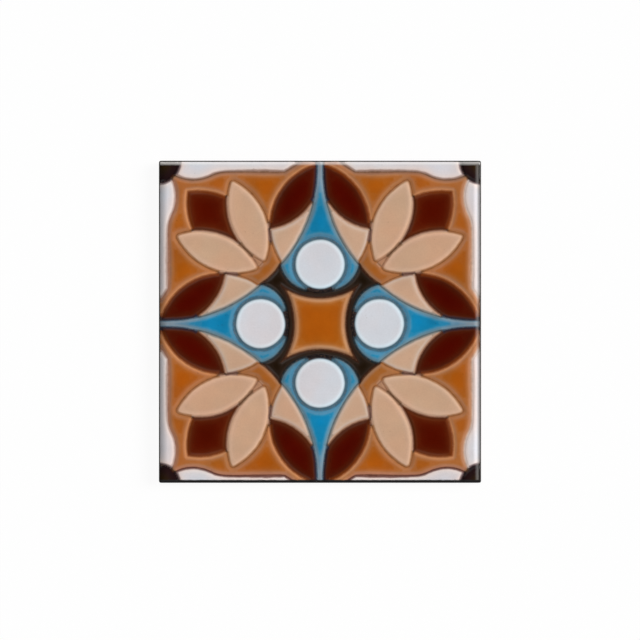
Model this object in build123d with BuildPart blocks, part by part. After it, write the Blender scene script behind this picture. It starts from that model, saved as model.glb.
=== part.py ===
from build123d import *
from collections import namedtuple
from math import acos, cos, degrees, hypot, radians, sin, sqrt
import os

# Body
tile_side = 200.0            # outer size of the square face
thickness = 10.0             # back ribs to the crest of the glaze
edge_band = 2.4              # upright band of the sides, under the face
side_draft = 2.5             # degrees; below the band the sides lean in, so that only the faces meet
corner_radius = 1.2          # upright corners
arris_radius = 1.6           # rounded edge between the face and the sides

# Keyed back
key_depth = 1.2              # grooves that the mortar grips
key_width = 9.0
key_pitch = 17.0
key_margin = 12.0            # flat border round the grooved field
key_draft = 20.0             # degrees on the groove's walls

# Dry lines between the pools of glaze
line_width = 1.4
pearl_line_width = 2.0       # the heavier outline of the white discs
line_depth = 0.5             # line level below the crest of the glaze

# The pattern sits a little low on the tile, as fired
pattern_drop = 1.2           # from the tile's centre down to the pattern's

# White discs and the blue drops round them, measured on the upper half of the pattern
pearl_distance = 36.85       # pattern centre to disc centre
pearl_radius = 16.8          # to the middle of the outline
foot_centre = (-4.4, 40.9)   # left foot of the drop, where it hugs the disc
foot_radius = 20.4
drop_root = (-22.7, 38.3)    # where the drop's side starts, beside the disc
drop_tip_half_width = 1.8    # at its far end
drop_side_rise = 6.2         # bow of the drop's side

# Leaves and wedges beside each drop, which share one lens
lens_root = (-24.3, 38.3)
lens_tip_inset = 0.6         # from the drop's far end back to the lens's tip
lens_rise = 16.9             # bow of the lens's outer side
belly_centre = (-35.7, 94.9)   # the arc that parts the leaf from the wedge
belly_radius = 36.3

# Petals, in pairs that touch on the tile's diagonal
petal_touch_distance = 64.9    # pattern centre to the place where the pair touches
petal_tip_radius = 1.5         # the glaze doesn't run into a sharp tip
petal_inner_radius = 41.0
petal_outer_radius = 41.0
petal_outer_angle = 185.9      # degrees; direction from the lens's centre to the petal's outer centre

# Small cells on the diagonal
corner_leaf_centre = (-75.1, 42.3)
corner_leaf_radius = 40.5
kite_distance = 52.0         # pattern centre to the kite's base
kite_width = 4.2             # room for the kite between the pair of petals

# Black frame and the orange cell in the middle
lobe_distance = 78.2         # pattern centre to the centre of the frame's hollow side
lobe_radius = 35.4
heart_distance = 59.3        # pattern centre to the centre of the middle cell's hollow side
heart_radius = 43.4

# White border with its wavy inner line
corner_disc_radius = 12.8
border_width = 6.0
border_rise_start = 22.0     # the line leaves the straight here, measured from mid-side
border_rise_end = 12.5       # and reaches the tile's edge here
wave_start = 42.0            # straight stretch ends this far from the tile's corner
wave_drop = 4.9              # depth of the wave below the straight stretch
wave_high_radius = 21.0
wave_low_radius = 25.0

# Worked out from the values above
half_side = tile_side / 2
half_line = line_width / 2
half_pearl_line = pearl_line_width / 2
margin = 3.0                 # the pattern's outermost cells run out over the edge by this much
reach = half_side + margin
diagonal = Plane(origin=(0, 0, 0), z_dir=(1, 1, 0))

Ring = namedtuple("Ring", "centre radius")


def on_diagonal(distance):
    """Point on the way from the pattern's centre to its upper left corner."""
    return (-distance / sqrt(2), distance / sqrt(2))


def swapped(ring):
    """The same circle on the other side of the diagonal."""
    x, y = ring.centre
    return Ring((-y, -x), ring.radius)


def opposite(ring):
    """The same circle on the other side of the upright axis."""
    x, y = ring.centre
    return Ring((-x, y), ring.radius)


def bow(start, end, rise):
    """Circle through start and end that stands out by rise on the left of the way between them."""
    across = end[0] - start[0]
    along = end[1] - start[1]
    chord = hypot(across, along)
    radius = (chord**2 / 4 + rise**2) / (2 * abs(rise))
    back = (radius - abs(rise)) * (1 if rise > 0 else -1) / chord
    middle = ((start[0] + end[0]) / 2, (start[1] + end[1]) / 2)
    return Ring((middle[0] + along * back, middle[1] - across * back), radius)


def disc(ring, grow=0.0, mode=Mode.ADD):
    """Filled circle up to a line, made larger or smaller by grow."""
    with Locations(ring.centre):
        Circle(ring.radius + grow, mode=mode)


def lens(first, second, grow):
    """The overlap of two circles, each made larger or smaller by grow."""
    with BuildSketch() as shape:
        disc(first, grow)
        disc(second, grow, Mode.INTERSECT)
    return shape.sketch


def blunted(outline, radius):
    """A sketch with its tips rounded."""
    with BuildSketch() as shape:
        add(outline)
        fillet(shape.vertices(), radius)
    return shape.sketch


# Middles of the lines, as whole circles of the pattern's upper left corner
pearl = Ring((0, pearl_distance), pearl_radius)
foot = Ring(foot_centre, foot_radius)
drop_side = bow(drop_root, (-drop_tip_half_width, half_side), -drop_side_rise)
lens_side = bow(lens_root, (-drop_tip_half_width, half_side - lens_tip_inset), lens_rise)
belly = Ring(belly_centre, belly_radius)
petal_inner_foot = on_diagonal(petal_touch_distance)
petal_inner = Ring(
    (petal_inner_foot[0] + petal_inner_radius / sqrt(2), petal_inner_foot[1] + petal_inner_radius / sqrt(2)),
    petal_inner_radius,
)
outer_direction = (cos(radians(petal_outer_angle)), sin(radians(petal_outer_angle)))
outer_distance = lens_side.radius + petal_outer_radius
petal_outer = Ring(
    (
        lens_side.centre[0] + outer_distance * outer_direction[0],
        lens_side.centre[1] + outer_distance * outer_direction[1],
    ),
    petal_outer_radius,
)
lobe = Ring(on_diagonal(lobe_distance), lobe_radius)
heart_side = Ring((0, heart_distance), heart_radius)
corner_leaf_side = Ring(corner_leaf_centre, corner_leaf_radius)
corner_disc = Ring((-half_side, half_side), corner_disc_radius)

# The petal meets the lens here, and this circle parts the inner cells from the outer ones
petal_meets_lens = (
    lens_side.centre[0] + lens_side.radius * outer_direction[0],
    lens_side.centre[1] + lens_side.radius * outer_direction[1],
)
inner_zone = Ring((0, 0), hypot(*petal_meets_lens))


def border(grow):
    """White border of half a side, from the corner to its taper near mid-side."""
    turn = degrees(acos(1 - wave_drop / (wave_high_radius + wave_low_radius)))
    level = half_side - border_width
    with BuildSketch() as shape:
        with BuildLine():
            rise = Line((-border_rise_end, half_side), (-border_rise_start, level))
            straight = Line(rise @ 1, (wave_start - half_side, level))
            high = JernArc(straight @ 1, straight % 1, wave_high_radius, turn)
            low = JernArc(high @ 1, high % 1, wave_low_radius, -2 * turn)
            run_out = Line(low @ 1, (-reach, (low @ 1).Y))
            Polyline(run_out @ 1, (-reach, reach), (-border_rise_end, reach), rise @ 0)
        make_face()
        offset(amount=grow)
        disc(corner_disc, half_line, Mode.SUBTRACT)
    return shape.sketch


def kite_room(start):
    """Strip on the diagonal, from start to the place where the petals touch."""
    length = petal_touch_distance - start
    with BuildSketch() as shape:
        with Locations(on_diagonal(start + length / 2)):
            Rectangle(length, kite_width, rotation=135)
    return shape.sketch


# Shapes that several cells share, with and without the line round them
petal = blunted(lens(petal_inner, petal_outer, -half_line), petal_tip_radius)
petal_and_line = blunted(lens(petal_inner, petal_outer, half_line), petal_tip_radius + line_width)
other_petal_and_line = petal_and_line.mirror(diagonal)
corner_lens = lens(corner_leaf_side, swapped(corner_leaf_side), -half_line)
corner_lens_and_line = lens(corner_leaf_side, swapped(corner_leaf_side), half_line)
kite_inside = kite_room(kite_distance + half_line)
kite_and_line = kite_room(kite_distance - half_line)
border_cell = border(-half_line)
border_and_line = border(half_line)
other_border_and_line = border_and_line.mirror(diagonal)

with BuildSketch() as wedge:
    disc(lens_side, -half_line)
    disc(drop_side, -half_line, Mode.INTERSECT)
    disc(belly, half_line, Mode.SUBTRACT)

with BuildSketch() as leaf:
    disc(lens_side, -half_line)
    disc(drop_side, -half_line, Mode.INTERSECT)
    disc(belly, -half_line, Mode.INTERSECT)

with BuildSketch() as corner_leaf:
    add(corner_lens)
    disc(inner_zone, 0, Mode.SUBTRACT)
    disc(petal_inner, half_line, Mode.SUBTRACT)
    disc(swapped(petal_inner), half_line, Mode.SUBTRACT)

with BuildSketch() as kite:
    add(kite_inside)
    disc(petal_inner, half_line, Mode.SUBTRACT)
    disc(swapped(petal_inner), half_line, Mode.SUBTRACT)

# Orange cell between the frame and the petals, with an arm up each side of the pair
with BuildSketch() as inner_field:
    disc(lobe, -half_line)
    disc(inner_zone, 0, Mode.INTERSECT)
    for side in (lens_side, swapped(lens_side)):
        disc(side, half_line, Mode.SUBTRACT)
    add(petal_and_line, mode=Mode.SUBTRACT)
    add(other_petal_and_line, mode=Mode.SUBTRACT)
    add(kite_and_line, mode=Mode.SUBTRACT)

# Orange ground of the corner, round the petals and the corner leaf
field_start = drop_tip_half_width + half_line
field_size = reach - field_start
with BuildSketch() as field:
    with Locations((-field_start - field_size / 2, field_start + field_size / 2)):
        Rectangle(field_size, field_size)
    disc(inner_zone, 0, Mode.SUBTRACT)
    for side in (lens_side, swapped(lens_side)):
        disc(side, half_line, Mode.SUBTRACT)
    add(petal_and_line, mode=Mode.SUBTRACT)
    add(other_petal_and_line, mode=Mode.SUBTRACT)
    add(corner_lens_and_line, mode=Mode.SUBTRACT)
    disc(corner_disc, half_line, Mode.SUBTRACT)
    add(border_and_line, mode=Mode.SUBTRACT)
    add(other_border_and_line, mode=Mode.SUBTRACT)

with BuildSketch() as drop:
    with Locations((0, (foot_centre[1] + reach) / 2)):
        Rectangle(-2 * drop_root[0], reach - foot_centre[1])
    for ring in (foot, opposite(foot)):
        disc(ring, -half_line)
    for ring in (drop_side, opposite(drop_side)):
        disc(ring, half_line, Mode.SUBTRACT)
    disc(pearl, half_pearl_line, Mode.SUBTRACT)

# The middle cell's hollow sides meet on the diagonals, inside a square of this side
with BuildSketch() as heart:
    Rectangle(heart_distance, heart_distance)
    with PolarLocations(heart_distance, 4):
        Circle(heart_radius + half_line, mode=Mode.SUBTRACT)

with BuildSketch() as heart_and_line:
    Rectangle(heart_distance, heart_distance)
    with PolarLocations(heart_distance, 4):
        Circle(heart_radius - half_line, mode=Mode.SUBTRACT)

# Everything that bites into the black frame on its upper side and upper left corner
with BuildSketch() as frame_bites:
    disc(lobe, half_line)
    disc(pearl, half_pearl_line)
    for ring in (foot, opposite(foot)):
        disc(ring, half_line)

with BuildSketch() as frame:
    Rectangle(2 * drop_root[1], 2 * drop_root[1])
    add(heart_and_line.sketch, mode=Mode.SUBTRACT)
    with PolarLocations(0, 4):
        add(frame_bites.sketch, mode=Mode.SUBTRACT)

# All cells: what lies on one side of the diagonal, its mirror image, then four turns
with BuildSketch() as corner_cells:
    add(petal)
    add(wedge.sketch)
    add(leaf.sketch)
    add(border_cell)
    mirror(about=diagonal)
    add(corner_leaf.sketch)
    add(kite.sketch)
    add(inner_field.sketch)
    add(field.sketch)
    disc(corner_disc, -half_line)

with BuildSketch() as upper_cells:
    add(drop.sketch)
    disc(pearl, -half_pearl_line)

with BuildSketch() as cells:
    add(heart.sketch)
    add(frame.sketch)
    with PolarLocations(0, 4):
        add(corner_cells.sketch)
        add(upper_cells.sketch)

# The back's grooves fill the field inside the flat border
key_length = tile_side - 2 * key_margin
key_count = int((key_length - key_width) / key_pitch) + 1

with BuildPart() as tile:
    # Body: an upright band under the face, and leaning sides below it
    with BuildSketch(Plane.XY.offset(thickness - edge_band)) as outline:
        RectangleRounded(tile_side, tile_side, corner_radius)
    extrude(amount=edge_band)
    extrude(outline.sketch, amount=edge_band - thickness, taper=side_draft)
    fillet(tile.faces().sort_by(Axis.Z)[-1].edges(), arris_radius)
    # Grooves that key the back into the mortar
    with BuildSketch(Plane.XY):
        with GridLocations(key_pitch, key_pitch, 1, key_count):
            SlotOverall(key_length, key_width)
    extrude(amount=key_depth, taper=key_draft, mode=Mode.SUBTRACT)
    # Dry lines, sunk between the cells
    with BuildSketch(Plane.XY.offset(thickness)):
        Rectangle(tile_side + margin, tile_side + margin)
        with Locations((0, -pattern_drop)):
            add(cells.sketch, mode=Mode.SUBTRACT)
    extrude(amount=-line_depth, mode=Mode.SUBTRACT)

tile.part.label = "tile"
os.makedirs("parts", exist_ok=True)
export_step(tile.part, "parts/tile.step")
print("cells", len(cells.faces()), "solids", len(tile.solids()), "volume", tile.part.volume)
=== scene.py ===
import math
import bpy
import numpy as np
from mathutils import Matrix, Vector, noise
from mathutils.geometry import delaunay_2d_cdt
from mathutils.kdtree import KDTree


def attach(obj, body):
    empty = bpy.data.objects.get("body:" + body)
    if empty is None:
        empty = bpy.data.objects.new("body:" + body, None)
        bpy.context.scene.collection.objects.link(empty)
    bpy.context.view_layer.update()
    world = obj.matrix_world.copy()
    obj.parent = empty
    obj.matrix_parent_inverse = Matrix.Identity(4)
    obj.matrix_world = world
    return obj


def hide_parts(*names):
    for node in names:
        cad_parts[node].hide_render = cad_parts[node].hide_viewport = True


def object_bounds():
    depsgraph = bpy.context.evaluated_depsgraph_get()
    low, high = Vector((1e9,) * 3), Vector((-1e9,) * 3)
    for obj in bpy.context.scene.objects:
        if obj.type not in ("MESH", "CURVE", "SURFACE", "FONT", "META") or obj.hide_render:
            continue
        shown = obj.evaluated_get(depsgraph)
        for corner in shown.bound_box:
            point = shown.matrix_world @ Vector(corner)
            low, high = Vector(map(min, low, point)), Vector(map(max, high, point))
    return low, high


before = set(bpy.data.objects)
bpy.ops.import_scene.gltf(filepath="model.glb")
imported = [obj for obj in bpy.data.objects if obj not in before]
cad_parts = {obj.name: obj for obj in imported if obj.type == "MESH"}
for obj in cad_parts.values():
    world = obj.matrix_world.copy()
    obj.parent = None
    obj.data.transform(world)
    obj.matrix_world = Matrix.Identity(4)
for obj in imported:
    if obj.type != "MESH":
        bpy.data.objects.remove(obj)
cad_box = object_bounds()
scene = bpy.context.scene
noise.seed_set(3)  # the same hand draws the lines in every run

# Lengths are in millimetres and angles in degrees, until the mesh is made in metres
per_metre = 1000

# Body
half_side = round(cad_box[1][0] * per_metre, 3)
thickness = round(cad_box[1][2] * per_metre, 3)
arris_radius = 1.6
arris_length = arris_radius * math.pi / 2
arris_angles = (12, 24, 36, 54, 72, 90)
bare_angle = 36  # the glaze ends here
band_foot = 7.6  # the sides are upright above this height and lean in below it
side_draft = 2.5
side_wear = 0.07  # unevenness of the clay
side_wear_fade = 2.0  # it sets in over this height, below the upright band
foot_bevel = 0.35  # worn lower edge
side_heights = (band_foot, 6.0, 4.3, 2.6, 1.2, foot_bevel, 0.0)
corner_radius = 1.2
corner_shrink = 0.6  # how much of the corner's radius is lost per millimetre inwards

# Face: its flat part, inside the arris
face_half = half_side - arris_radius
side_length = 2 * face_half
round_length = 4 * side_length
corner_arc = corner_radius - corner_shrink * arris_radius
corner_start = face_half - corner_arc
side_frames = (((1, 0), (0, 1)), ((0, 1), (-1, 0)), ((-1, 0), (0, -1)), ((0, -1), (1, 0)))
pattern_centre = (0.0, -1.2)

# Back
key_depth = 1.2
key_width = 9.0
key_pitch = 17.0
key_count = 10
key_length = 176.0
key_draft = 20.0
key_wall = key_depth * math.tan(math.radians(key_draft))
key_straight = key_length / 2 - key_width / 2
key_rows = [(k - (key_count - 1) / 2) * key_pitch for k in range(key_count)]
# Rings of points about a groove's edge, by how far they lie outside it
key_rings = (0.25, 0.0, -key_wall * 0.5, -key_wall, -key_wall - 0.3)
back_wear = 0.03
back_calm = 4.0  # the back is even near its edge

# Glaze and lines
line_depth = 0.5
line_half = 0.7
pool_width = 2.4  # from a pool's edge to its full height
pool_power = 2.5  # steepness of the pool's edge
pool_swell = 0.03  # unevenness of the fired glaze
line_grain = 0.03
sag_depth = 0.05  # a wide pool lies lower in its middle
sag_start = 1.2
sag_width = 5.0
groove_fade = 0.7  # how soon a line's groove fades out down the arris
wander_slow = 0.16  # how far the hand strays from the drawn curve
wander_fast = 0.05
wander_calm = 5.0  # the hand is steadier near the edge of the face
lip_reach = 0.9  # how far a pool's lip takes on a tone from what lies beside it
tone_reach = lip_reach + 0.6  # a lip's tone is worked out this far into the pool
junction_reach = 1.7  # the oxide gathers and darkens where three lines meet
junction_depth = 0.72

# Waves of noise: their size, and a layer of their own
slow_wave = (13.0, 3)
fast_wave = (2.6, 8)
swell_wave = (9.0, 1)
grain_wave = (1.7, 5)
back_wave = (7.0, 2)
side_wave_size = 5.0
side_wave_height = 3.0

# Mesh: steps between its points, and the angle from which an edge looks sharp
sharp_angle = 50
outline_step = 0.85
outline_corner = 24  # a sharper turn of an outline is a corner
sample_shares = (0, 0.25, 0.5, 0.75)
perimeter_step = 1.2
# Steps to either side of a gate, where a line runs out at the edge of the face
gate_steps = (-1.25, -0.75, -0.4, -0.16, 0.16, 0.4, 0.75, 1.25)
gate_gap = 0.12
corner_shares = (-1, -0.5, 0, 0.5, 1)
fill_step = 2.8
fill_rise = 0.866 * fill_step
fill_gap = 0.72 * fill_step
fill_margin = 1.0
back_step = 5.0
back_gap = 1.6
back_margin = 2.5
groove_arc_steps = 24
groove_side_steps = 40

# Rows of points beside the outlines: distance into the pool, and least gap to another point
side_rows = (
    (-line_half, 0.6), (0.16, 0.12), (0.4, 0.5), (0.75, 0.6), (1.2, 0.65),
    (1.7, 0.75), (2.3, 0.85), (3.0, 1.1), (4.0, 1.5),
)
row_slack = 0.93  # a row's points lie at least this share of its distance from any outline
row_margin = 0.4

# Differences that count as none
same_level = 0.0005
same_point = 0.0001
same_post = 0.01
same_edge = 0.02
doubled = 0.03
no_area = 1e-7
no_length = 1e-6

# UV map: the face with its arrises rolled out, the sides in strips above it, the back squeezed beside it
face_uv_middle = 0.395
face_uv_width = 0.78
face_uv_margin = 2.0  # millimetres for the arris
face_uv_scale = face_uv_width / (2 * (half_side + face_uv_margin))
strip_uv_left = 0.01
strip_uv_width = 0.76
strip_uv_foot = 0.80
strip_uv_rise = 0.048
strip_uv_scale = 0.0042
back_uv_middle = 0.895
back_uv_width = 0.09
back_uv_height = 0.38

# Where each kind of cell has its middle, folded into one eighth of the face
cell_places = {
    "heart": (0.0, 0.0),
    "pearl": (36.8, 0.0),
    "drop": (56.6, 0.0),
    "wedge": (54.6, 19.5),
    "leaf": (78.4, 15.8),
    "petal": (64.1, 44.9),
    "inner_field": (34.4, 34.4),
    "kite": (38.3, 38.3),
    "field": (66.4, 66.4),
    "corner_leaf": (69.7, 69.7),
    "border": (95.9, 60.8),
    "corner_disc": (94.2, 94.2),
}
# Each kind of cell with its family and its glaze
cell_looks = {
    "heart": ("orange", "heart_orange"),
    "frame": ("black", "black"),
    "pearl": ("disc", "pearl_white"),
    "drop": ("blue", "blue"),
    "wedge": ("tan", "pale_tan"),
    "leaf": ("maroon", "maroon"),
    "petal": ("tan", "tan"),
    "inner_field": ("orange", "inner_orange"),
    "kite": ("tan", "kite_tan"),
    "field": ("orange", "orange"),
    "corner_leaf": ("maroon", "corner_maroon"),
    "border": ("white", "border_white"),
    "corner_disc": ("black", "corner_black"),
}
# Screen colours across the line between two families: at the first one's lip, midway, at the other lip
line_tones = {
    ("petal beside wedge", "petal beside wedge"): ((132, 98, 84), (72, 46, 38), (132, 98, 84)),
    ("beside kite", "beside kite"): ((172, 126, 96), (136, 94, 68), (172, 126, 96)),
    ("tan", "tan"): ((142, 106, 80), (74, 44, 26), (142, 106, 80)),
    ("tan", "orange"): ((162, 114, 76), (128, 76, 40), (166, 106, 62)),
    ("tan", "maroon"): ((184, 146, 122), (130, 88, 66), (76, 34, 14)),
    ("tan", "blue"): ((132, 130, 124), (76, 90, 94), (102, 130, 142)),
    ("orange", "maroon"): ((190, 128, 84), (148, 86, 46), (110, 50, 16)),
    ("orange", "white at the right"): ((176, 124, 92), (192, 156, 134), (208, 188, 178)),
    ("orange", "white at the top"): ((150, 104, 78), (105, 72, 52), (158, 130, 118)),
    ("orange", "white at the left"): ((160, 112, 86), (143, 98, 77), (176, 150, 140)),
    ("orange", "white at the bottom"): ((172, 114, 86), (72, 34, 26), (118, 84, 78)),
    ("orange", "black"): ((152, 108, 76), (74, 42, 22), (48, 22, 8)),
    ("maroon", "blue"): ((36, 32, 44), (66, 84, 100), (114, 142, 158)),
    ("maroon", "maroon"): ((96, 44, 20), (86, 40, 20), (96, 44, 20)),
    ("blue", "disc"): ((70, 128, 158), (60, 94, 112), (66, 94, 108)),
    ("blue", "black"): ((84, 118, 134), (34, 50, 58), (18, 28, 32)),
    ("disc", "black"): ((44, 40, 44), (10, 6, 10), (12, 6, 8)),
    ("disc", "disc"): ((76, 84, 92), (36, 42, 52), (76, 84, 92)),
    ("white", "white"): ((166, 140, 126), (140, 110, 94), (166, 140, 126)),
    ("white", "black"): ((120, 104, 106), (44, 28, 32), (20, 8, 12)),
}
plain_tone = (120, 90, 70)  # where no lip is near


def read_solid(node):
    """Corner points of a CAD node in millimetres, merged by place, and its triangles."""
    mesh = node.data
    places = np.empty(len(mesh.vertices) * 3)
    mesh.vertices.foreach_get("co", places)
    mesh.calc_loop_triangles()
    corners = np.empty(len(mesh.loop_triangles) * 3, dtype=np.int32)
    mesh.loop_triangles.foreach_get("vertices", corners)
    merged, index = np.unique(np.round(places.reshape(-1, 3) * per_metre, 3), axis=0, return_inverse=True)
    return merged, index.ravel()[corners.reshape(-1, 3)]


def outlines_at(points, triangles, height):
    """Closed outlines of each patch of triangles that lies flat at a height."""
    level = np.abs(points[triangles][:, :, 2] - height) < same_level
    flat = triangles[level.all(axis=1)]
    directed = sorted({(int(t[k]), int(t[(k + 1) % 3])) for t in flat for k in range(3)})
    known = set(directed)
    follow = {a: b for a, b in directed if (b, a) not in known}
    leader = {}

    def find(a):
        while leader.setdefault(a, a) != a:
            a = leader[a]
        return a

    for a, b in directed:
        leader[find(a)] = find(b)
    patches = {}
    while follow:
        start, here = follow.popitem()
        loop = [start]
        while here != start:
            loop.append(here)
            here = follow.pop(here)
        patches.setdefault(find(start), []).append(points[loop, :2])
    return list(patches.values())


def middle(loop):
    """Area centre of a closed outline."""
    x, y = loop[:, 0], loop[:, 1]
    x_next, y_next = np.roll(x, -1), np.roll(y, -1)
    cross = x * y_next - x_next * y
    area = cross.sum() / 2
    return np.array([((x + x_next) * cross).sum(), ((y + y_next) * cross).sum()]) / 6 / area


def kind_of(loops):
    """Name of the kind of cell, from the place of its middle."""
    if len(loops) > 1:
        return "frame"
    folded = sorted(np.abs(middle(loops[0]) - pattern_centre), reverse=True)
    return min(cell_places, key=lambda name: math.dist(cell_places[name], folded))


def lies_across(loops):
    """Whether a cell lies more to the left or right of the pattern's centre than above or below."""
    x, y = middle(loops[0]) - pattern_centre
    return bool(abs(x) > abs(y))


def reach_of(point):
    """How far a place lies from the tile's middle, measured squarely."""
    return max(abs(point[0]), abs(point[1]))


def on_edge(point):
    """Whether a place lies at the edge of the face."""
    return reach_of(point) > face_half - same_edge


def along_edge(run):
    """Whether a run of an outline follows the edge of the face."""
    if on_edge(run[0]) and on_edge(run[len(run) // 2]) and on_edge(run[-1]):
        return True
    return len(run) == 2 and on_edge((run[0] + run[1]) / 2)


def without_doubles(loop):
    """A closed outline without the points that repeat the one before."""
    return loop[np.linalg.norm(loop - np.roll(loop, 1, axis=0), axis=1) > doubled]


def split_runs(loop):
    """Smooth runs of a closed outline between its corners, and whether each is the whole outline."""
    before = loop - np.roll(loop, 1, axis=0)
    after = np.roll(loop, -1, axis=0) - loop
    turn = np.arctan2(
        before[:, 0] * after[:, 1] - before[:, 1] * after[:, 0],
        (before * after).sum(axis=1),
    )
    corners = list(np.nonzero(np.abs(np.degrees(turn)) > outline_corner)[0])
    if not corners:
        return [(np.concatenate([loop, loop[:1]]), True)]
    runs = []
    for start, end in zip(corners, corners[1:] + [corners[0] + len(loop)]):
        runs.append((loop[np.arange(start, end + 1) % len(loop)], False))
    return runs


def smooth_run(run, closed, step):
    """Points at an even step on a smooth curve through those of the run."""
    overlap = 3
    if closed:
        run = np.concatenate([run[-overlap - 1:-1], run, run[1:overlap + 1]])
    reach = np.concatenate([[0], np.cumsum(np.linalg.norm(np.diff(run, axis=0), axis=1))])
    start, end = (reach[overlap], reach[-overlap - 1]) if closed else (0, reach[-1])
    count = max(2, round((end - start) / step))
    places = np.linspace(start, end, count + 1)
    if len(run) == 2:
        share = (places / end)[:, None]
        return run[0] * (1 - share) + run[-1] * share
    slope = np.gradient(run, reach, axis=0, edge_order=2)
    index = np.clip(np.searchsorted(reach, places, side="right") - 1, 0, len(run) - 2)
    length = (reach[index + 1] - reach[index])[:, None]
    share = (places - reach[index])[:, None] / length
    return (
        run[index] * (1 + 2 * share) * (1 - share) ** 2
        + slope[index] * length * share * (1 - share) ** 2
        + run[index + 1] * share**2 * (3 - 2 * share)
        + slope[index + 1] * length * share**2 * (share - 1)
    )


def wave_place(x, y, wave):
    """Place in a wave of noise, for a place on the tile."""
    size, layer = wave
    return Vector((x / size, y / size, layer))


def wander(points):
    """Points moved as a hand-drawn line strays, not at all at the edge of the face."""
    moved = []
    for x, y in points:
        calm = min(1, max(0, (face_half - reach_of((x, y))) / wander_calm))
        slow = noise.noise_vector(wave_place(x, y, slow_wave))
        fast = noise.noise_vector(wave_place(x, y, fast_wave))
        shifts = [calm * (wander_slow * a + wander_fast * b) for a, b in zip(slow, fast)]
        moved.append((x + shifts[0], y + shifts[1]))
    return np.array(moved)


def around(point):
    """Way round the face's edge to the place nearest a point, from the middle of the right side."""
    best = None
    for k, (out, along) in enumerate(side_frames):
        gap = face_half - (point[0] * out[0] + point[1] * out[1])
        run = point[0] * along[0] + point[1] * along[1]
        if best is None or gap < best[0]:
            best = (gap, (k * side_length + run) % round_length)
    return best[1]


def edge_post(way):
    """Side, and place along it or angle round its corner, for a way round the edge."""
    side = int((way + face_half) // side_length) % 4
    run = (way + face_half) % side_length - face_half
    if abs(run) <= corner_start:
        return side, run, None
    turn = math.pi / 4 * (abs(run) - corner_start) / corner_arc
    return side, math.copysign(corner_start, run), math.copysign(turn, run)


def edge_place(post, inset):
    """Point on the outline that lies inset from the tile's side, and the way out from it."""
    side, run, turn = post
    out, along = np.array(side_frames[side], dtype=float)
    if turn is None:
        return out * (half_side - inset) + along * run, out
    radius = corner_radius - corner_shrink * inset
    centre = (half_side - inset - radius) * (out + math.copysign(1, turn) * along)
    way_out = out * math.cos(turn) + along * math.sin(turn)
    return centre + way_out * radius, way_out


def draw_cells(cells):
    """The cells as the hand draws them: outlines, lines, gates, and samples along each kind's outlines."""
    shapes = []
    lines = []
    gates = []
    samples = {}
    for kind, loops in cells:
        beside = samples.setdefault((kind, lies_across(loops)), [])
        shape = []
        for loop in loops:
            polygon = []
            for run, closed in split_runs(without_doubles(loop)):
                if along_edge(run):
                    polygon.extend(run[:-1] * (half_side / face_half))
                    continue
                drawn = wander(smooth_run(run, closed, outline_step))
                for end in (0, -1):
                    if on_edge(run[end]):
                        gates.append(around(drawn[end]))
                        drawn[end] = edge_place(edge_post(gates[-1]), arris_radius)[0]
                polygon.extend(drawn[:-1])
                lines.append((drawn, closed))
                for k, step in enumerate(np.diff(drawn, axis=0)):
                    beside += [drawn[k] + step * share for share in sample_shares]
            shape.append(np.array(polygon))
        shapes.append(shape)
    return shapes, lines, gates, {side: places for side, places in samples.items() if places}


def ways_round(gates):
    """Ways round the edge of the face to its points: the gates, the corners and even steps between."""
    breaks = {round(gate, 4) for gate in gates}
    for gate in gates:
        for step in gate_steps:
            way = (gate + step) % round_length
            gaps = [(way - other + round_length / 2) % round_length - round_length / 2 for other in gates]
            if min(abs(gap) for gap in gaps) > gate_gap:
                breaks.add(round(way, 4))
    for k in range(4):
        for share in corner_shares:
            breaks.add(round((2 * k + 1) * face_half + share * corner_arc, 4))
    ordered = sorted(breaks)
    ways = []
    for start, end in zip(ordered, ordered[1:] + [ordered[0] + round_length]):
        count = max(1, round((end - start) / perimeter_step))
        ways += [(start + (end - start) * k / count) % round_length for k in range(count)]
    return ways


def tree_of(points):
    """Search tree of flat points."""
    tree = KDTree(len(points))
    for k, (x, y) in enumerate(points):
        tree.insert((x, y, 0), k)
    tree.balance()
    return tree


def nearest(tree, place):
    """Number of the tree's point nearest a place, and its distance."""
    return tree.find((place[0], place[1], 0))[1:]


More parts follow.
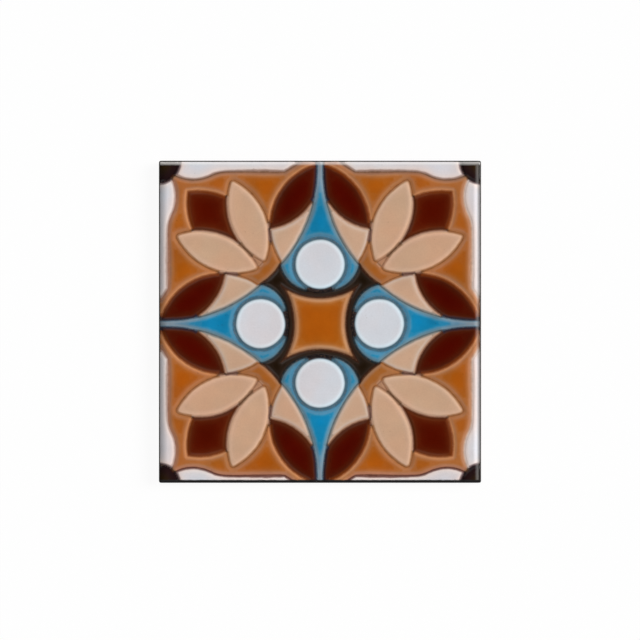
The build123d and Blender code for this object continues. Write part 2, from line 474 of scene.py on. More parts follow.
class Cloud:
    """Points of a flat net with the edges that it has to keep, thinned as they are added."""

    def __init__(self):
        self.points = []
        self.edges = []
        self.squares = {}

    def near(self, point, gap):
        """Number of a point that is nearer than a gap, or None."""
        column, row = math.floor(point[0]), math.floor(point[1])
        reach = math.ceil(gap)
        for i in range(column - reach, column + reach + 1):
            for j in range(row - reach, row + reach + 1):
                for other in self.squares.get((i, j), ()):
                    x, y = self.points[other]
                    if math.hypot(x - point[0], y - point[1]) < gap:
                        return other
        return None

    def add(self, point):
        """Adds a point and gives its number."""
        index = len(self.points)
        self.points.append((float(point[0]), float(point[1])))
        self.squares.setdefault((math.floor(point[0]), math.floor(point[1])), []).append(index)
        return index

    def add_apart(self, point, gap):
        """Adds a point, unless one is nearer than a gap, and gives its number."""
        other = self.near(point, gap)
        return self.add(point) if other is None else other

    def add_ring(self, places):
        """Adds a closed ring of points with the edges between them."""
        ring = [self.add(place) for place in places]
        self.edges += list(zip(ring, ring[1:] + ring[:1]))
        return ring

    def net(self, upwards):
        """Points and triangles of the net, facing up or down, and each added point's number there."""
        made = delaunay_2d_cdt([Vector(p) for p in self.points], self.edges, [], 0, no_length, True)
        points = np.array([tuple(v) for v in made[0]])
        triangles = np.array([t for t in made[2] if len(t) == 3])
        number_of = {source: k for k, sources in enumerate(made[3]) for source in sources}
        a, b, c = (points[triangles[:, k]] for k in range(3))
        double_area = (b[:, 0] - a[:, 0]) * (c[:, 1] - a[:, 1]) - (b[:, 1] - a[:, 1]) * (c[:, 0] - a[:, 0])
        kept = np.abs(double_area) > no_area
        triangles = triangles[kept]
        turned = (double_area[kept] < 0) == upwards
        triangles[turned] = triangles[turned][:, [0, 2, 1]]
        return points, triangles, number_of


def add_lines(cloud, lines, perimeter):
    """Adds the drawn lines to the face, joined to the points of its edge where they run out."""
    perimeter_tree = tree_of([cloud.points[k] for k in perimeter])
    for drawn, closed in lines:
        made = []
        for place in drawn[:-1] if closed else drawn:
            index, gap = nearest(perimeter_tree, place)
            made.append(perimeter[index] if gap < same_post else cloud.add_apart(place, same_point))
        if closed:
            made.append(made[0])
        cloud.edges += [(a, b) for a, b in zip(made, made[1:]) if a != b]


def add_rows(cloud, lines, edge_tree):
    """Adds rows of points beside the drawn lines, where the pools curve down to them."""
    sides = []
    for drawn, _ in lines:
        ahead = np.gradient(drawn, axis=0)
        left = np.stack([-ahead[:, 1], ahead[:, 0]], axis=1) / np.linalg.norm(ahead, axis=1)[:, None]
        sides.append((drawn, left))
    for offset, gap in side_rows:
        for drawn, left in sides:
            for place in drawn + left * offset:
                clear = nearest(edge_tree, place)[1] >= abs(offset) * row_slack
                if clear and reach_of(place) <= face_half - row_margin:
                    cloud.add_apart(place, gap)


def add_fill(cloud):
    """Adds an even net of points where nothing else is near."""
    count = int(face_half / fill_rise)
    for j in range(-count, count + 1):
        for i in range(-count, count + 1):
            place = (fill_step * (i + 0.5 * (j % 2)), fill_rise * j)
            if reach_of(place) < face_half - fill_margin:
                cloud.add_apart(place, fill_gap)


def inside(points, loops):
    """Which of the points lie inside the loops."""
    hit = np.zeros(len(points), dtype=bool)
    for loop in loops:
        ends = np.roll(loop, -1, axis=0)
        for (x0, y0), (x1, y1) in zip(loop, ends):
            if y0 == y1:
                continue
            crosses = (points[:, 1] < y0) != (points[:, 1] < y1)
            hit ^= crosses & (points[:, 0] < x0 + (points[:, 1] - y0) * (x1 - x0) / (y1 - y0))
    return hit


def cells_under(points, triangles, shapes):
    """Number of the cell that each triangle of the face lies in, or -1 in a line."""
    centres = points[triangles].mean(axis=1)
    under = np.full(len(triangles), -1)
    for k, shape in enumerate(shapes):
        low = np.min([loop.min(axis=0) for loop in shape], axis=0)
        high = np.max([loop.max(axis=0) for loop in shape], axis=0)
        picked = np.nonzero(((centres > low) & (centres < high)).all(axis=1))[0]
        under[picked[inside(centres[picked], shape)]] = k
    return under


def pool_gaps(points, triangles, under, edge_tree):
    """Distance of each point of the face from its pool's edge, below zero in a line."""
    gaps = np.array([nearest(edge_tree, point)[1] for point in points])
    in_cell, in_line = np.zeros((2, len(points)), dtype=bool)
    in_cell[triangles[under >= 0].ravel()] = True
    in_line[triangles[under < 0].ravel()] = True
    return np.where(in_cell & in_line, 0, np.where(in_cell, gaps, -gaps))


def surface_height(points, gaps):
    """Height of the face: lines, pools and the gentle swell of the fired glaze."""
    swell = np.array([noise.noise(wave_place(x, y, swell_wave)) for x, y in points])
    grain = np.array([noise.noise(wave_place(x, y, grain_wave)) for x, y in points])
    full = np.clip(gaps / pool_width, 0, 1)
    height = thickness - line_depth + line_depth * (1 - (1 - full) ** pool_power)
    height += np.where(gaps > 0, -pool_swell * full * (1 + swell), line_grain * (1 + grain))
    height -= sag_depth * np.clip((gaps - sag_start) / sag_width, 0, 1)
    return np.minimum(height, thickness)


def tone_across(first, second, share):
    """Screen colour at a share of the way from one family's lip over the line to the other's."""
    if (first, second) in line_tones:
        lip, midway, far_lip = line_tones[first, second]
    elif (second, first) in line_tones:
        far_lip, midway, lip = line_tones[second, first]
    else:
        lip = midway = far_lip = line_tones["tan", "tan"][1]
    if share < 0.5:
        return np.array(lip) * (1 - 2 * share) + np.array(midway) * 2 * share
    return np.array(midway) * (2 - 2 * share) + np.array(far_lip) * (2 * share - 1)


def side_of(place):
    """Side of the tile that a place lies nearest."""
    x, y = place
    if abs(x) > abs(y):
        return "right" if x > 0 else "left"
    return "top" if y > 0 else "bottom"


def lip_tone(place, gap, cell_trees):
    """Screen colour of the line or of a pool's lip, from the nearest two or three cells."""
    near = sorted((nearest(tree, place)[1], side[0]) for side, tree in cell_trees.items())[:3]
    kinds = [kind for _, kind in near]
    families = [cell_looks[kind][0] for kind in kinds]
    if set(kinds[:2]) == {"wedge", "petal"}:
        families = ["petal beside wedge"] * 2
    if "kite" in kinds[:2]:
        families = ["beside kite"] * 2
    if set(families[:2]) == {"orange", "white"}:
        families[families.index("white")] = "white at the " + side_of(place)
    if gap > 0:
        return tone_across(families[0], families[1], 0)
    tone = tone_across(families[0], families[1], near[0][0] / max(near[0][0] + near[1][0], no_length))
    if "kite" in kinds:
        return tone
    crowd = max(0, 1 - (near[2][0] - near[0][0]) / junction_reach)
    return tone * (1 - junction_depth * crowd)


class Skin:
    """Points and faces of the whole tile, with what each of them tells the materials."""

    def __init__(self):
        self.places = []
        self.past_edge = []  # how far each point lies beyond the edge of the face
        self.gaps = []  # its distance from the pool's edge
        self.tones = []
        self.faces = []
        self.materials = []
        self.uvs = []

    def add(self, place, past_edge, gap, tone):
        """Adds a point and gives its number."""
        self.places.append(place)
        self.past_edge.append(past_edge)
        self.gaps.append(gap)
        self.tones.append(tone)
        return len(self.places) - 1

    def add_face(self, corners, material, uvs):
        """Adds a triangle or quad between points."""
        self.faces.append(corners)
        self.materials.append(material)
        self.uvs += uvs


def face_uv(place):
    """Place on the UV map of a place on the face."""
    return (face_uv_middle + place[0] * face_uv_scale, face_uv_middle + place[1] * face_uv_scale)


def add_front(skin, points, triangles, under, gaps, kinds, cell_trees):
    """The glazed face. Gives the material beside each edge of its triangles."""
    for (x, y), height, gap in zip(points, surface_height(points, gaps), gaps):
        tone = lip_tone((x, y), gap, cell_trees) if gap < tone_reach else plain_tone
        skin.add((x, y, height), 0.0, gap, tone)
    material_beside = {}
    for triangle, cell in zip(triangles, under):
        corners = tuple(int(index) for index in triangle)
        material = cell_looks[kinds[cell]][1] if cell >= 0 else "dry_line"
        skin.add_face(corners, material, [face_uv(points[index]) for index in corners])
        for pair in zip(corners, corners[1:] + corners[:1]):
            material_beside[pair] = material
    return material_beside


def arris_place(post, angle, groove):
    """Place at an angle down the rounded arris, where a line's groove fades out."""
    turn = math.radians(angle)
    place, way_out = edge_place(post, arris_radius * (1 - math.sin(turn)))
    sink = groove * (1 - angle / 90) ** groove_fade
    place = place - way_out * math.sin(turn) * sink
    return (place[0], place[1], thickness - arris_radius * (1 - math.cos(turn)) - math.cos(turn) * sink)


def side_place(post, height):
    """Place on the clay side, which leans in and is a little worn."""
    inset = (band_foot - height) * math.tan(math.radians(side_draft))
    if height == 0:
        inset += foot_bevel
    place, way_out = edge_place(post, inset)
    rough = noise.noise(wave_place(place[0], place[1], (side_wave_size, height / side_wave_height)))
    place = place - way_out * side_wear * (1 + rough) * min(1, (band_foot - height) / side_wear_fade)
    return (place[0], place[1], height)


def add_column(skin, post, top):
    """Points down the arris and the side, below one at the edge of the face."""
    places = []
    groove = thickness - skin.places[top][2]
    for angle in arris_angles:
        places.append((arris_place(post, angle, groove), arris_radius * math.radians(angle)))
    for height in side_heights:
        places.append((side_place(post, height), arris_length + thickness - arris_radius - height))
    gap, tone = skin.gaps[top], skin.tones[top]
    return [top] + [skin.add(place, past_edge, gap, tone) for place, past_edge in places]


def arris_uv(post, past_edge):
    """Place on the UV map of a point on the arris, rolled out flat beside the face."""
    place, way_out = edge_place(post, arris_radius)
    return face_uv(place + way_out * past_edge)


def strip_uv(side, run, past_edge):
    """Place on the UV map of a point on a clay side."""
    across = strip_uv_left + strip_uv_width * run / side_length
    return (across, strip_uv_foot + strip_uv_rise * side + strip_uv_scale * (past_edge - arris_length))


def add_sides(skin, ways, tops, material_beside):
    """The rounded arris and the clay sides, in columns below the edge of the face. Gives their foot."""
    posts = [edge_post(way) for way in ways]
    columns = [add_column(skin, post, top) for post, top in zip(posts, tops)]
    for k, (post, column) in enumerate(zip(posts, columns)):
        after = (k + 1) % len(ways)
        next_post, next_column = posts[after], columns[after]
        run, next_run = ((way + face_half) % side_length for way in (ways[k], ways[after]))
        if next_run < run:
            next_run = side_length
        glazed = material_beside[column[0], next_column[0]]
        for row in range(len(column) - 1):
            corners = (column[row], column[row + 1], next_column[row + 1], next_column[row])
            upper, lower = skin.past_edge[column[row]], skin.past_edge[column[row + 1]]
            if row < len(arris_angles):
                material = glazed if arris_angles[row] <= bare_angle else "edge"
                uvs = [arris_uv(post, upper), arris_uv(post, lower)]
                uvs += [arris_uv(next_post, lower), arris_uv(next_post, upper)]
            else:
                material = "biscuit"
                uvs = [strip_uv(post[0], run, upper), strip_uv(post[0], run, lower)]
                uvs += [strip_uv(post[0], next_run, lower), strip_uv(post[0], next_run, upper)]
            skin.add_face(corners, material, uvs)
    return [column[-1] for column in columns]


def groove_outline(y, grow):
    """Outline of one groove of the back, made larger or smaller by grow."""
    radius = key_width / 2 + grow
    places = []
    for way in (1, -1):
        for k in range(groove_arc_steps + 1):
            turn = math.pi * k / groove_arc_steps - way * math.pi / 2
            places.append((way * key_straight + radius * math.cos(turn), y + radius * math.sin(turn)))
        for k in range(1, groove_side_steps):
            along = key_straight - 2 * key_straight * k / groove_side_steps
            places.append((way * along, y + way * radius))
    return places


def back_height(x, y):
    """Height of the back at a place: the border and ribs, or a groove's wall and floor."""
    row = min(key_rows, key=lambda middle_y: abs(middle_y - y))
    out = math.hypot(max(0, abs(x) - key_straight), y - row) - key_width / 2
    depth = min(1, max(0, -out / key_wall)) * key_depth
    calm = min(1, max(0, (half_side - reach_of((x, y))) / back_calm))
    return depth + back_wear * (1 + noise.noise(wave_place(x, y, back_wave))) * calm


def back_uv(place):
    """Place on the UV map of a place on the back."""
    across = back_uv_middle + place[0] * back_uv_width / half_side
    return (across, face_uv_middle + place[1] * back_uv_height / half_side)


def add_back(skin, foot):
    """The keyed back, joined to the foot of the sides."""
    far_past_edge = 30.0
    far_gap = 5.0
    cloud = Cloud()
    cloud.add_ring(skin.places[index] for index in foot)
    for y in key_rows:
        for grow in key_rings:
            cloud.add_ring(groove_outline(y, grow))
    count = int(half_side / back_step)
    for i in range(-count, count + 1):
        for j in range(-count * 2, count * 2 + 1):
            place = (i * back_step, j * back_step / 2)
            if reach_of(place) < half_side - back_margin:
                cloud.add_apart(place, back_gap)
    points, triangles, number_of = cloud.net(upwards=False)
    index_of = {number_of[k]: index for k, index in enumerate(foot)}
    for k, (x, y) in enumerate(points):
        if k not in index_of:
            index_of[k] = skin.add((x, y, back_height(x, y)), far_past_edge, far_gap, plain_tone)
    for triangle in triangles:
        corners = tuple(index_of[k] for k in triangle)
        skin.add_face(corners, "biscuit", [back_uv(skin.places[index]) for index in corners])


def tile_skin():
    """The whole fired tile, round the outlines of the solid's cells."""
    solid = read_solid(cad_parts["tile"])
    cells = [(kind_of(loops), loops) for loops in outlines_at(*solid, thickness)]
    shapes, lines, gates, samples = draw_cells(cells)
    cell_trees = {side: tree_of(places) for side, places in samples.items()}
    edge_tree = tree_of([place for places in samples.values() for place in places])
    ways = ways_round(gates)
    cloud = Cloud()
    perimeter = cloud.add_ring(edge_place(edge_post(way), arris_radius)[0] for way in ways)
    add_lines(cloud, lines, perimeter)
    add_rows(cloud, lines, edge_tree)
    add_fill(cloud)
    points, triangles, number_of = cloud.net(upwards=True)
    under = cells_under(points, triangles, shapes)
    gaps = pool_gaps(points, triangles, under, edge_tree)
    skin = Skin()
    kinds = [kind for kind, _ in cells]
    material_beside = add_front(skin, points, triangles, under, gaps, kinds, cell_trees)
    foot = add_sides(skin, ways, [number_of[k] for k in perimeter], material_beside)
    add_back(skin, foot)
    return skin


# Materials: waves of noise per metre
blot_scale = 190
cloud_scale = 55
drift_scale = 38
fine_scale = 900
pinhole_scale = 260
pinhole_patch_scale = 120
ripple_scale = 330
sheen_scale = 70
ragged_scale = 300
oxide_scale = 1400
clay_patch_scale = 40
clay_grain_scale = 1100
clay_run_scale = 260
clay_lump_scale = 420

# Metres across the tile, from its middle, over which its glaze changes, or painted shade and painted
# highlights are laid on
# painted shade: the lower arris is darkened to near-black over this span
lower_shade_span = (-0.0977, -0.0983)
# painted shade on the left, a painted highlight and painted shade on the right, painted shade at the top
left_painted_shade_span = (-0.0982, -0.0945)
right_painted_highlight_span = (0.0948, 0.0962)
right_painted_shade_span = (0.0971, 0.0988)
top_painted_shade_span = (0.0989, 0.0993)
# painted highlight: pale bands along the upper and right arrises
top_highlight_span = (0.0968, 0.0984)
right_highlight_span = (0.0960, 0.0976)
right_highlight_end = (0.0979, 0.0988)
arm_fade_span = (0.079, 0.096)

ramp_reach = 10.0  # millimetres covered by a colour ramp


def srgb(*parts):
    """A colour as seen on the screen, for a shader."""
    shares = [part / 255 for part in parts]
    return (*(s / 12.92 if s <= 0.04045 else ((s + 0.055) / 1.055) ** 2.4 for s in shares), 1.0)


dark_edge = srgb(46, 42, 40)
dark_edge_light = srgb(66, 60, 57)
# near-black of the painted shade on the lower arris
painted_shade_black = srgb(27, 26, 26)
# pale colour of the painted highlight on the upper and right arrises
painted_highlight_white = srgb(250, 247, 244)
dark_speck = srgb(40, 25, 18)
grey_speck = srgb(150, 140, 135)
tan_speck = srgb(150, 110, 85)
faded_blue = srgb(134, 141, 149)
clay_in_line = srgb(176, 136, 108)
clay = srgb(176, 118, 84)
pale_clay = srgb(201, 147, 112)
clay_grit = srgb(226, 190, 160)
clay_pit = srgb(120, 74, 52)
clay_stain = srgb(90, 62, 50)
warm_drift = (1.03, 0.98, 0.96, 1.0)
cool_drift = (0.975, 1.015, 1.03, 1.0)


class Nodes:
    """Short calls that add and join shader nodes of one material."""

    def __init__(self, name):
        self.material = bpy.data.materials.new(name)
        self.material.use_nodes = True
        self.tree = self.material.node_tree
        self.tree.nodes.clear()

    def put(self, kind, inputs=None, **values):
        """Adds a node. An input takes another node's output, or a value of its own."""
        node = self.tree.nodes.new(kind)
        for key, value in values.items():
            setattr(node, key, value)
        for key, value in (inputs or {}).items():
            if isinstance(value, bpy.types.NodeSocket):
                self.tree.links.new(value, node.inputs[key])
            else:
                node.inputs[key].default_value = value
        return node

    def attribute(self, name, output="Fac"):
        """A value that the mesh holds at its points."""
        return self.put("ShaderNodeAttribute", attribute_name=name).outputs[output]

    def place(self):
        """Place on the tile, in metres."""
        return self.put("ShaderNodeTexCoord").outputs["Object"]

    def across(self, axis):
        """One coordinate of the place on the tile."""
        return self.put("ShaderNodeSeparateXYZ", {0: self.place()}).outputs[axis]

    def noise(self, scale, detail=3.0, rough=0.55):
        """Cloudy noise, mostly between 0.3 and 0.7."""
        inputs = {"Vector": self.place(), "Scale": scale, "Detail": detail, "Roughness": rough}
        return self.put("ShaderNodeTexNoise", inputs).outputs["Fac"]

    def math(self, operation, first, second=0.0, third=0.0):
        """One operation on up to three values."""
        return self.put("ShaderNodeMath", {0: first, 1: second, 2: third}, operation=operation).outputs[0]

    def times(self, first, second):
        """Product of two values."""
        return self.math("MULTIPLY", first, second)

    def span(self, value, low, high, to_low=0.0, to_high=1.0):
        """A value carried over from one range to another, and held at its ends."""
        inputs = {0: value, 1: low, 2: high, 3: to_low, 4: to_high}
        return self.put("ShaderNodeMapRange", inputs).outputs[0]

    def ragged(self, value, scale, detail, amount):
        """A value made uneven by noise."""
        uneven = self.math("SUBTRACT", self.noise(scale, detail), 0.5)
        return self.math("MULTIPLY_ADD", uneven, amount, value)

    def ramp(self, value, stops):
        """Colour that changes with a value."""
        node = self.put("ShaderNodeValToRGB", {"Fac": value})
        ramp = node.color_ramp
        while len(ramp.elements) < len(stops):
            ramp.elements.new(0.5)
        for element, (place, colour) in zip(ramp.elements, stops):
            element.position = place
            element.color = colour
        return node.outputs["Color"]

    def mix(self, share, first, second, blend="MIX"):
        """Mixture of two colours."""
        inputs = {"Factor": share, 6: first, 7: second}
        return self.put("ShaderNodeMix", inputs, data_type="RGBA", blend_type=blend).outputs[2]

    def lit(self, colour, light):
        """A colour made lighter or darker by a value."""
        grey = self.put("ShaderNodeCombineColor", {0: light, 1: light, 2: light}).outputs[0]
        return self.mix(1.0, colour, grey, "MULTIPLY")

    def bump(self, height, distance, strength):
        """Fine relief."""
        inputs = {"Height": height, "Distance": distance, "Strength": strength}
        return self.put("ShaderNodeBump", inputs).outputs["Normal"]

    def surface(self, shader):
        """The material with a shader on its surface."""
        self.put("ShaderNodeOutputMaterial", {"Surface": shader.outputs[0]})
        return self.material

    def finish(self, colour, rough, normal, shine):
        """The material with its colour, roughness, relief and shine."""
        inputs = {"Base Color": colour, "Roughness": rough, "Normal": normal, "Specular IOR Level": shine}
        return self.surface(self.put("ShaderNodeBsdfPrincipled", inputs))


def painted_lower_shade(n):
    """How far the painted shade, a near-black band along the lower arris, covers the face."""
    return n.span(n.ragged(n.across("Y"), ragged_scale, 3, 0.0004), *lower_shade_span)


def painted_edge_light_and_shade(n):
    """Painted light and shade at the tile's edges: painted shade greys the glaze towards the left side, a
    painted highlight lies inside the right arris, and painted shade darkens the right and upper arrises.
    """
    light = n.span(n.across("X"), *left_painted_shade_span, 0.5, 1)
    light = n.times(light, n.span(n.across("X"), *right_painted_highlight_span, 1, 1.35))
    light = n.times(light, n.span(n.across("Y"), *top_painted_shade_span, 1, 0.15))
    return n.times(light, n.span(n.across("X"), *right_painted_shade_span, 1, 0.2))


def painted_arris_highlight(n):
    """How far a painted highlight, a pale band, lies along the tile's upper and right arrises."""
    upper = n.span(n.across("Y"), *top_highlight_span, 0, 0.46)
    upper = n.times(upper, n.span(n.across("Y"), *top_painted_shade_span, 1, 0))
    right = n.span(n.across("X"), *right_highlight_span, 0, 0.13)
    right = n.times(right, n.span(n.across("X"), *right_highlight_end, 1, 0))
    return n.math("MAXIMUM", upper, right)


def arm_end(n):
    """How far a colour has faded towards the sides of the tile."""
    furthest = n.math("MAXIMUM", n.math("ABSOLUTE", n.across("X")), n.math("ABSOLUTE", n.across("Y")))
    return n.span(furthest, *arm_fade_span, 0, 0.8)


def pinholes(n):
    """Small round pits in patches of the fired glaze."""
    inputs = {"Vector": n.place(), "Scale": pinhole_scale, "Randomness": 1.0}
    spots = n.put("ShaderNodeTexVoronoi", inputs)
    patches = n.math("GREATER_THAN", n.noise(pinhole_patch_scale, 1), 0.6)
    return n.times(n.span(spots.outputs["Distance"], 0.06, 0.14, 1, 0), patches)


def mottling(n, amount):
    """Light and dark clouds in the glaze, with a fine grain."""
    clouds = n.span(n.noise(cloud_scale, 3), 0.3, 0.7, 1 - amount, 1 + amount)
    return n.times(clouds, n.span(n.noise(fine_scale, 2), 0.2, 0.8, 0.96, 1.04))


def glaze(name, stops, mottle=0.10, speck=dark_speck, wave=0.9, shine=0.12, reach=lip_reach, faded=None):
    """Fired glaze. The stops are its screen colours by the distance from the pool's edge."""
    n = Nodes(name)
    gap = n.ragged(n.attribute("rim"), blot_scale, 4, wave)
    share = n.math("DIVIDE", gap, ramp_reach)
    colour = n.ramp(share, [(distance / ramp_reach, srgb(*tone)) for distance, tone in stops.items()])
    colour = n.mix(n.span(gap, 0.05, reach), n.attribute("lip", "Color"), colour)
    if faded:
        colour = n.mix(arm_end(n), colour, faded)
    drift = n.mix(n.span(n.noise(drift_scale, 2), 0.35, 0.65), warm_drift, cool_drift)
    colour = n.mix(1, colour, drift, "MULTIPLY")
    # the colour is multiplied by the painted light and shade of the edges
    colour = n.lit(colour, n.times(mottling(n, mottle), painted_edge_light_and_shade(n)))
    pinhole = pinholes(n)
    colour = n.mix(n.times(pinhole, 0.25), colour, speck)
    # painted highlight along the upper and right arrises
    colour = n.mix(painted_arris_highlight(n), colour, painted_highlight_white)
    # painted shade on the lower arris: near-black, and made rougher below
    lower_shade = painted_lower_shade(n)
    colour = n.mix(lower_shade, colour, painted_shade_black)
    height = n.math("MULTIPLY_ADD", n.noise(ripple_scale, 3), 0.5, n.times(pinhole, -0.6))
    rough = n.span(n.noise(sheen_scale, 3), 0.3, 0.7, 0.12, 0.2)
    rough = n.math("ADD", rough, n.times(lower_shade, 0.5))
    return n.finish(colour, rough, n.bump(height, 0.00006, 0.5), shine)


def black():
    """The frame round the heart."""
    stops = {0: (54, 39, 29), 0.9: (46, 34, 26), 1.5: (38, 28, 21), 3: (31, 20, 10), 6: (22, 12, 3)}
    return glaze("black", stops)


def blue():
    """The drops and their arms, which fade towards the sides of the tile."""
    stops = {0: (82, 134, 161), 1: (78, 135, 164), 1.6: (66, 133, 165), 2.2: (44, 128, 164),
             3: (22, 122, 164), 6: (11, 122, 168), 9: (10, 122, 170)}
    return glaze("blue", stops, mottle=0.16, wave=1.5, faded=faded_blue, reach=1.6)


def border_white():
    """The cells along the sides of the tile."""
    stops = {0: (196, 174, 164), 0.6: (210, 190, 182), 1: (222, 207, 202), 1.8: (221, 209, 206),
             3: (213, 206, 207), 6: (208, 206, 211)}
    return glaze("border_white", stops, mottle=0.04, speck=grey_speck)


def corner_black():
    """The discs in the corners of the tile."""
    return glaze("corner_black", {0: (30, 14, 16), 3: (36, 20, 20), 7: (42, 28, 12)})


def corner_maroon():
    """The leaves in the corners, a little paler than the others."""
    stops = {0: (100, 46, 20), 1: (95, 40, 16), 2.4: (86, 28, 8), 5: (80, 17, 2), 9: (77, 12, 0)}
    return glaze("corner_maroon", stops, shine=0.06, reach=1.7)


def heart_orange():
    """The heart, with a broad pale rim."""
    stops = {0: (172, 124, 88), 0.8: (184, 134, 96), 1.6: (186, 131, 88), 2.4: (174, 110, 57),
             3.4: (165, 95, 35), 5: (167, 87, 18), 9: (169, 85, 12)}
    return glaze("heart_orange", stops)


def inner_orange():
    """The small fields between the drops and the petals."""
    stops = {0: (164, 112, 74), 1.2: (161, 104, 62), 2.4: (159, 93, 40), 4: (162, 91, 32)}
    return glaze("inner_orange", stops)


def kite_tan():
    """The kites between the petals' feet."""
    return glaze("kite_tan", {0: (160, 118, 90), 2: (172, 130, 102)}, mottle=0.05)


def maroon():
    """The leaves on either side of the arms."""
    stops = {0: (84, 38, 19), 1: (78, 32, 15), 2.4: (73, 23, 8), 5: (73, 11, 1), 9: (72, 6, 0)}
    return glaze("maroon", stops, shine=0.06, reach=1.7)


def orange():
    """The fields round the petals."""
    stops = {0: (170, 116, 78), 1: (171, 113, 74), 2: (167, 102, 55), 3.2: (164, 91, 34),
             5: (166, 85, 17), 9: (169, 83, 10)}
    return glaze("orange", stops, reach=1.3)


def pale_tan():
    """The wedges beside the drops."""
    stops = {0: (182, 160, 144), 0.8: (196, 171, 154), 1.6: (200, 171, 150), 2.6: (196, 162, 137),
             4: (196, 159, 132)}
    return glaze("pale_tan", stops, mottle=0.05, speck=tan_speck)


def pearl_white():
    """The white discs, whose glaze pales in a bright ring before its even middle."""
    stops = {0: (108, 128, 140), 0.5: (146, 164, 174), 0.9: (178, 193, 202), 1.4: (204, 215, 222),
             1.9: (215, 223, 230), 2.6: (211, 215, 221), 3.8: (207, 207, 212), 9: (207, 206, 211)}
    return glaze("pearl_white", stops, mottle=0.03, speck=grey_speck, wave=0.3)


def tan():
    """The petals."""
    stops = {0: (196, 153, 122), 0.8: (208, 168, 139), 1.4: (210, 171, 143), 2.2: (204, 166, 139),
             3.2: (198, 160, 133), 4.6: (197, 159, 130), 9: (197, 159, 130)}
    return glaze("tan", stops, mottle=0.05, speck=tan_speck)


def dry_line():
    """Matt line of dark oxide between the pools, with the grain of the body showing."""
    n = Nodes("dry_line")
    grain = n.noise(oxide_scale, 3)
    # painted light and shade of the edges
    light = n.times(n.span(n.noise(ragged_scale, 3), 0.3, 0.7, 0.86, 1.14), painted_edge_light_and_shade(n))
    colour = n.lit(n.attribute("lip", "Color"), light)
    colour = n.mix(n.span(grain, 0.5, 0.75, 0, 0.2), colour, clay_in_line)
    # painted highlight along the upper and right arrises
    colour = n.mix(painted_arris_highlight(n), colour, painted_highlight_white)
    # painted shade on the lower arris
    colour = n.mix(painted_lower_shade(n), colour, painted_shade_black)
    return n.finish(colour, 0.75, n.bump(grain, 0.00008, 0.7), 0.1)


def edge():
    """Bare dark body where the glaze ends on the arris."""
    n = Nodes("edge")
    grain = n.noise(fine_scale, 3)
    colour = n.mix(n.span(grain, 0.3, 0.7), dark_edge, dark_edge_light)
    # painted shade on the lower arris
    colour = n.mix(painted_lower_shade(n), colour, painted_shade_black)
    return n.finish(colour, 0.8, n.bump(grain, 0.00008, 0.7), 0.1)


def biscuit():
    """Fired clay body: pale reddish, granular, darker where the glaze ran over the edge."""
    n = Nodes("biscuit")
    grain = n.noise(clay_grain_scale, 4, 0.7)
    colour = n.mix(n.span(n.noise(clay_patch_scale, 4), 0.3, 0.7), clay, pale_clay)
    colour = n.mix(n.span(grain, 0.55, 0.75, 0, 0.6), colour, clay_grit)
    colour = n.mix(n.span(grain, 0.42, 0.28, 0, 0.6), colour, clay_pit)
    run = n.ragged(n.attribute("over"), clay_run_scale, 3, 2.6)
    colour = n.mix(n.span(run, 3.3, 4.0, 1, 0), colour, dark_edge)
    colour = n.mix(n.span(run, 4.0, 5.0, 0.35, 0), colour, clay_stain)
    height = n.math("MULTIPLY_ADD", n.noise(clay_lump_scale, 3), 0.6, grain)
    return n.finish(colour, 0.85, n.bump(height, 0.00015, 0.8), 0.2)


# The material of each slot of the mesh, in their order
makers = (
    black, blue, border_white, corner_black, corner_maroon, heart_orange, inner_orange, kite_tan, maroon,
    orange, pale_tan, pearl_white, tan, dry_line, edge, biscuit,
)


def make_mesh(skin):
    """The tile's mesh in metres, with what its materials read at each point."""
    mesh = bpy.data.meshes.new("painted_tile")
    mesh.from_pydata([tuple(value / per_metre for value in place) for place in skin.places], [], skin.faces)
    slots = {maker.__name__: k for k, maker in enumerate(makers)}
    mesh.polygons.foreach_set("material_index", [slots[material] for material in skin.materials])
    mesh.polygons.foreach_set("use_smooth", [True] * len(skin.faces))
    rim = mesh.attributes.new("rim", "FLOAT", "POINT")
    rim.data.foreach_set("value", [float(gap) for gap in skin.gaps])
    lip = mesh.attributes.new("lip", "FLOAT_COLOR", "POINT")
    lip.data.foreach_set("color", [part for tone in skin.tones for part in srgb(*tone)])
    over = mesh.attributes.new("over", "FLOAT", "POINT")
    over.data.foreach_set("value", skin.past_edge)
    uv_map = mesh.uv_layers.new(name="OFBake")
    uv_map.uv.foreach_set("vector", [value for uv in skin.uvs for value in uv])
    mesh.set_sharp_from_angle(angle=math.radians(sharp_angle))
    mesh.validate()
    return mesh


def add_object(name, data):
    """A new object in the scene."""
    thing = bpy.data.objects.new(name, data)
    scene.collection.objects.link(thing)
    return thing


tile_mesh = make_mesh(tile_skin())
painted_tile = add_object("painted_tile", tile_mesh)
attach(painted_tile, "root")
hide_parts("tile")
for maker in makers:
    tile_mesh.materials.append(maker())

# Ground, light and camera, in metres
floor_reach = 2.0
photo_size = 640.0  # pixels
pixels_per_metre = 1613.0
view_width = photo_size / pixels_per_metre
lens_length = 100.0
sensor_width = 36.0
camera_height = view_width * lens_length / sensor_width
camera_y = 0.0011  # the tile hangs a little low in the picture


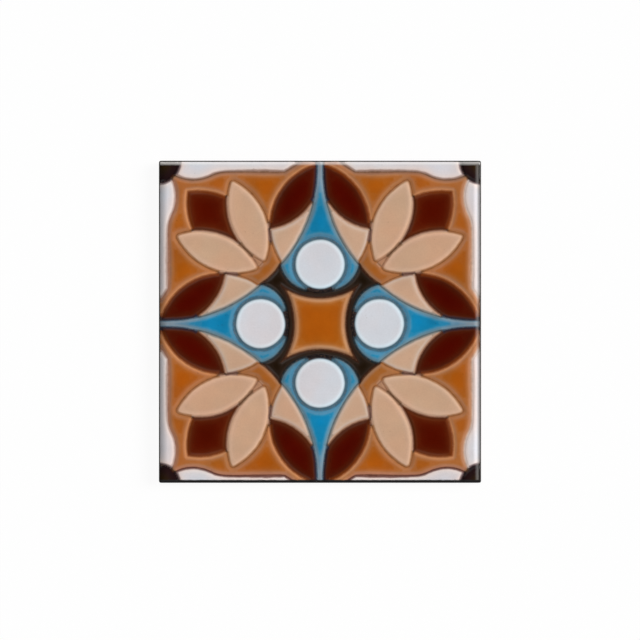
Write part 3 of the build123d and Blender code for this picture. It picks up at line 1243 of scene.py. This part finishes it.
def floor_material():
    """White cloth, glowing evenly where the camera or a reflection sees it."""
    n = Nodes("floor")
    path = n.put("ShaderNodeLightPath").outputs
    seen = n.math("MAXIMUM", path["Is Camera Ray"], path["Is Glossy Ray"])
    seen = n.math("MAXIMUM", seen, path["Is Transmission Ray"])
    white = n.mix(n.noise(6, 2), (0.86, 0.86, 0.86, 1), (0.9, 0.9, 0.9, 1))
    cloth = n.put("ShaderNodeBsdfDiffuse", {"Color": white}).outputs[0]
    glow = n.put("ShaderNodeEmission").outputs[0]
    return n.surface(n.put("ShaderNodeMixShader", {0: n.times(seen, 0.93), 1: cloth, 2: glow}))


floor_mesh = bpy.data.meshes.new("floor")
floor_corners = [(x * floor_reach, y * floor_reach, 0) for x, y in ((-1, -1), (1, -1), (1, 1), (-1, 1))]
floor_mesh.from_pydata(floor_corners, [], [(0, 1, 2, 3)])
floor_mesh.materials.append(floor_material())
floor = add_object("floor", floor_mesh)


def sun(name, azimuth, elevation, spread, strength):
    """Even soft light. Azimuth is the way to the light, 0 at the right and 90 at the photo's top."""
    data = bpy.data.lights.new(name, "SUN")
    data.energy = strength
    data.angle = math.radians(spread)
    level = math.cos(math.radians(elevation))
    way_x = math.cos(math.radians(azimuth)) * level
    way_y = math.sin(math.radians(azimuth)) * level
    way = Vector((way_x, way_y, math.sin(math.radians(elevation))))
    add_object(name, data).rotation_euler = way.to_track_quat("Z", "Y").to_euler()


sun("key", azimuth=15, elevation=38, spread=30, strength=3.4)
sun("fill_back", azimuth=125, elevation=58, spread=34, strength=0.55)
sun("fill_front", azimuth=250, elevation=58, spread=34, strength=0.5)

world = bpy.data.worlds.new("world")
world.use_nodes = True
sky = world.node_tree.nodes["Background"].inputs
sky["Color"].default_value = (1, 1, 1, 1)
sky["Strength"].default_value = 0.06
scene.world = world

camera_data = bpy.data.cameras.new("camera")
camera_data.lens = lens_length
camera_data.sensor_width = sensor_width
camera_data.clip_start = 0.05
camera = add_object("camera", camera_data)
camera.location = (0.0, camera_y, thickness / per_metre + camera_height)
scene.camera = camera
scene.view_settings.view_transform = "Standard"
